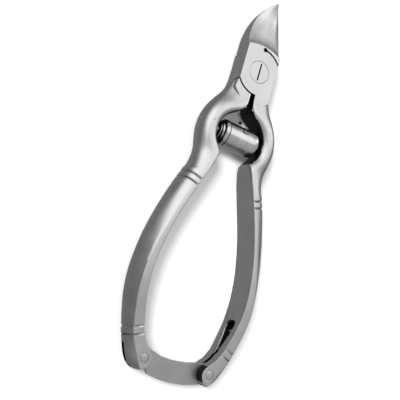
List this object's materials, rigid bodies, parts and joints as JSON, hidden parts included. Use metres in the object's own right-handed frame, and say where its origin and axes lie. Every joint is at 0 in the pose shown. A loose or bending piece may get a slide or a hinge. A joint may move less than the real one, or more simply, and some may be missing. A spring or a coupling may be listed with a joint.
{
  "type": "toenail nipper",
  "caption": "Plier-type steel nail nipper with concave jaws, lap joint, barrel spring in a round bow and a lock bar across the handle ends.",
  "frame": {"origin": "centre of the bounding box's bottom face, with the nipper lying on its back face", "axes": "+Y along the nipper towards the jaws' tip, +X towards the handle that the lock bar is hinged on, +Z towards the front face with the screw's slot"},
  "size_m": [0.0504, 0.1418, 0.0116],
  "materials": {
    "satin_steel": "fine satin, bead blasted stainless steel",
    "polished_steel": "polished stainless steel with fine turning marks",
    "dark_steel": "dark tempered spring steel"
  },
  "bodies": {
    "left_half": {"left_arm": "satin_steel", "pivot_screw": "satin_steel", "catch_pin": "satin_steel"},
    "right_half": {"right_arm": "satin_steel", "latch_pin": "satin_steel", "leaf_spring": "dark_steel", "leaf_rivet": "dark_steel"},
    "barrel": {"spring_barrel": "polished_steel", "barrel_pin": "dark_steel"},
    "plunger": {"spring_plunger": "satin_steel", "coil_spring": "polished_steel"},
    "lock_bar": {"latch_bar": "satin_steel"}
  },
  "joints": [
    {"name": "handle_pivot", "type": "hinge", "parent": "left_half", "child": "right_half", "pos_m": [0, 0.04238, 0.0058], "axis": [0, 0, 1], "range_deg": [0, 14]},
    {"name": "barrel_swing", "type": "hinge", "parent": "right_half", "child": "barrel", "pos_m": [0.0087, 0.01678, 0.0058], "axis": [0, 0, 1], "range_deg": [-7.05, 0.05]},
    {"name": "plunger_slide", "type": "slide", "parent": "barrel", "child": "plunger", "axis": [-1, 0, 0], "range_m": [0, 0.00615], "deforming": ["coil_spring"]},
    {"name": "lock_swing", "type": "hinge", "parent": "right_half", "child": "lock_bar", "pos_m": [0.01265, -0.06502, 0.0058], "axis": [0, 0, 1], "range_deg": [0, 70.5]}
  ],
  "couplings": [
    {"joint": "barrel_swing", "follows": "handle_pivot", "ratio": -0.5},
    {"joint": "plunger_slide", "follows": "handle_pivot", "m_per_rad": 0.025006},
    {"joint": "lock_swing", "follows": "handle_pivot", "ratio": 5}
  ]
}
